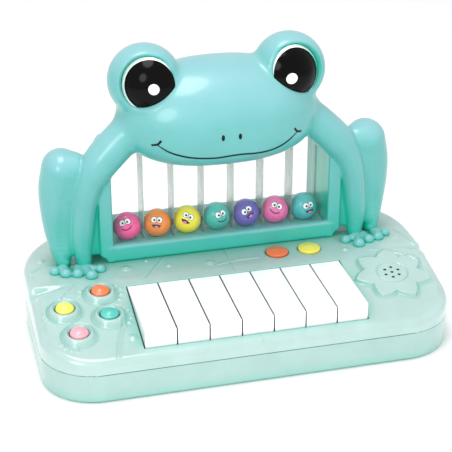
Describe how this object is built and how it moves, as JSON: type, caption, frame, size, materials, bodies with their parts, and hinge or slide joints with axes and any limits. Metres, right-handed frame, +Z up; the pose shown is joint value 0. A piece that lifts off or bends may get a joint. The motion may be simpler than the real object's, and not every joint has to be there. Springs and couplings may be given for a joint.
{
  "type": "toy electronic keyboard",
  "caption": "Frog-shaped toy keyboard: white keys on a mint base kick bouncing balls up clear lanes between the frog's arms; round buttons and a speaker flank the keys.",
  "frame": {"origin": "on the table under the middle of the base, at the bottom face of the rubber feet", "axes": "+X to the player's right along the keys, +Y away from the player, +Z up"},
  "size_m": [0.286, 0.172, 0.2004],
  "materials": {
    "mint_plastic": "smooth gloss ABS, pale mint",
    "mint_lower": "smooth gloss ABS, pale mint, a shade deeper",
    "frog_teal": "high gloss ABS, teal",
    "key_white": "high gloss ABS, white",
    "clear_plastic": "clear polystyrene",
    "eye_black": "high gloss, black with a white crescent and dot",
    "ball_magenta": "gloss, magenta pink",
    "ball_orange": "gloss, orange",
    "ball_yellow": "gloss, yellow",
    "ball_teal": "gloss, teal",
    "ball_purple": "gloss, purple",
    "ball_pink": "gloss, pink",
    "ball_aqua": "gloss, light teal",
    "button_orange": "gloss, orange",
    "button_yellow": "gloss, yellow",
    "button_teal": "gloss, teal",
    "button_pink": "gloss, pink",
    "foot_rubber": "soft matte grey rubber",
    "contact_rubber": "matte silicone, dark grey",
    "circuit_board": "green laminate",
    "component": "black moulded component",
    "switch_black": "fine matte, black",
    "speaker_steel": "pressed steel, grey",
    "speaker_paper": "dark pulp cone",
    "screw_steel": "zinc plated steel",
    "spring_steel": "drawn steel wire",
    "battery_sleeve": "plain dark sleeve",
    "wire_red": "PVC insulation, red"
  },
  "bodies": {
    "base": {"ball_tray": "frog_teal", "base_lower_casing": "mint_lower", "base_screws": "screw_steel", "base_upper_casing": "mint_plastic", "batteries": "battery_sleeve", "battery_contacts": "spring_steel", "battery_leads": "wire_red", "board_components": "component", "board_screws": "screw_steel", "button_board": "circuit_board", "button_pads": "contact_rubber", "eye_left": "eye_black", "eye_right": "eye_black", "frame_front_shell": "frog_teal", "frame_rear_shell": "frog_teal", "frog_mount_screws": "screw_steel", "frog_screws": "screw_steel", "front_window": "clear_plastic", "head_front_shell": "frog_teal", "head_rear_shell": "frog_teal", "key_contact_board": "circuit_board", "key_contact_pads": "contact_rubber", "key_shaft": "screw_steel", "key_springs": "spring_steel", "main_board": "circuit_board", "mode_board": "circuit_board", "mode_pads": "contact_rubber", "power_switch_body": "component", "rear_window_with_dividers": "clear_plastic", "rubber_feet": "foot_rubber", "speaker_cone": "speaker_paper", "speaker_frame": "speaker_steel", "speaker_leads": "wire_red", "speaker_screws": "screw_steel", "toes_left": "frog_teal", "toes_right": "frog_teal"},
    "key_1": {"key_1": "key_white"},
    "ball_1": {"ball_1": "ball_magenta"},
    "key_2": {"key_2": "key_white"},
    "ball_2": {"ball_2": "ball_orange"},
    "key_3": {"key_3": "key_white"},
    "ball_3": {"ball_3": "ball_yellow"},
    "key_4": {"key_4": "key_white"},
    "ball_4": {"ball_4": "ball_teal"},
    "key_5": {"key_5": "key_white"},
    "ball_5": {"ball_5": "ball_purple"},
    "key_6": {"key_6": "key_white"},
    "ball_6": {"ball_6": "ball_pink"},
    "key_7": {"key_7": "key_white"},
    "ball_7": {"ball_7": "ball_aqua"},
    "button_orange": {"button_orange": "button_orange"},
    "button_yellow": {"button_yellow": "button_yellow"},
    "button_teal": {"button_teal": "button_teal"},
    "button_pink": {"button_pink": "button_pink"},
    "mode_button_orange": {"mode_button_orange": "button_orange"},
    "mode_button_yellow": {"mode_button_yellow": "button_yellow"},
    "power_switch": {"power_switch": "switch_black"},
    "battery_door": {"battery_door": "mint_lower", "battery_door_screw": "screw_steel"}
  },
  "joints": [
    {"name": "key_1_press", "type": "hinge", "parent": "base", "child": "key_1", "pos_m": [-0.066, -0.02, 0.033], "axis": [1, 0, 0], "range_deg": [0, 4], "stiffness_Nm_per_rad": 0.35, "springref_deg": -4.01, "deforming": ["key_springs"]},
    {"name": "ball_1_hop", "type": "slide", "parent": "base", "child": "ball_1", "axis": [0, 0, 1], "range_m": [0, 0.055]},
    {"name": "key_2_press", "type": "hinge", "parent": "base", "child": "key_2", "pos_m": [-0.044, -0.02, 0.033], "axis": [1, 0, 0], "range_deg": [0, 4], "stiffness_Nm_per_rad": 0.35, "springref_deg": -4.01, "deforming": ["key_springs"]},
    {"name": "ball_2_hop", "type": "slide", "parent": "base", "child": "ball_2", "axis": [0, 0, 1], "range_m": [0, 0.055]},
    {"name": "key_3_press", "type": "hinge", "parent": "base", "child": "key_3", "pos_m": [-0.022, -0.02, 0.033], "axis": [1, 0, 0], "range_deg": [0, 4], "stiffness_Nm_per_rad": 0.35, "springref_deg": -4.01, "deforming": ["key_springs"]},
    {"name": "ball_3_hop", "type": "slide", "parent": "base", "child": "ball_3", "axis": [0, 0, 1], "range_m": [0, 0.055]},
    {"name": "key_4_press", "type": "hinge", "parent": "base", "child": "key_4", "pos_m": [0, -0.02, 0.033], "axis": [1, 0, 0], "range_deg": [0, 4], "stiffness_Nm_per_rad": 0.35, "springref_deg": -4.01, "deforming": ["key_springs"]},
    {"name": "ball_4_hop", "type": "slide", "parent": "base", "child": "ball_4", "axis": [0, 0, 1], "range_m": [0, 0.055]},
    {"name": "key_5_press", "type": "hinge", "parent": "base", "child": "key_5", "pos_m": [0.022, -0.02, 0.033], "axis": [1, 0, 0], "range_deg": [0, 4], "stiffness_Nm_per_rad": 0.35, "springref_deg": -4.01, "deforming": ["key_springs"]},
    {"name": "ball_5_hop", "type": "slide", "parent": "base", "child": "ball_5", "axis": [0, 0, 1], "range_m": [0, 0.055]},
    {"name": "key_6_press", "type": "hinge", "parent": "base", "child": "key_6", "pos_m": [0.044, -0.02, 0.033], "axis": [1, 0, 0], "range_deg": [0, 4], "stiffness_Nm_per_rad": 0.35, "springref_deg": -4.01, "deforming": ["key_springs"]},
    {"name": "ball_6_hop", "type": "slide", "parent": "base", "child": "ball_6", "axis": [0, 0, 1], "range_m": [0, 0.055]},
    {"name": "key_7_press", "type": "hinge", "parent": "base", "child": "key_7", "pos_m": [0.066, -0.02, 0.033], "axis": [1, 0, 0], "range_deg": [0, 4], "stiffness_Nm_per_rad": 0.35, "springref_deg": -4.01, "deforming": ["key_springs"]},
    {"name": "ball_7_hop", "type": "slide", "parent": "base", "child": "ball_7", "axis": [0, 0, 1], "range_m": [0, 0.055]},
    {"name": "button_orange_press", "type": "slide", "parent": "base", "child": "button_orange", "axis": [0, 0.1857, -0.9826], "range_m": [0, 0.002], "stiffness_N_per_m": 300, "springref_m": -0.001},
    {"name": "button_yellow_press", "type": "slide", "parent": "base", "child": "button_yellow", "axis": [0, 0.1857, -0.9826], "range_m": [0, 0.002], "stiffness_N_per_m": 300, "springref_m": -0.001},
    {"name": "button_teal_press", "type": "slide", "parent": "base", "child": "button_teal", "axis": [0, 0.1857, -0.9826], "range_m": [0, 0.002], "stiffness_N_per_m": 300, "springref_m": -0.001},
    {"name": "button_pink_press", "type": "slide", "parent": "base", "child": "button_pink", "axis": [0, 0.1857, -0.9826], "range_m": [0, 0.002], "stiffness_N_per_m": 300, "springref_m": -0.001},
    {"name": "mode_button_orange_press", "type": "slide", "parent": "base", "child": "mode_button_orange", "axis": [0, 0, -1], "range_m": [0, 0.001], "stiffness_N_per_m": 400, "springref_m": -0.001},
    {"name": "mode_button_yellow_press", "type": "slide", "parent": "base", "child": "mode_button_yellow", "axis": [0, 0, -1], "range_m": [0, 0.001], "stiffness_N_per_m": 400, "springref_m": -0.001},
    {"name": "power_switch_slide", "type": "slide", "parent": "base", "child": "power_switch", "axis": [1, 0, 0], "range_m": [0, 0.005]},
    {"name": "battery_door_lift_off", "type": "slide", "parent": "base", "child": "battery_door", "axis": [0, 0, -1], "range_m": [0, 0.03]}
  ]
}
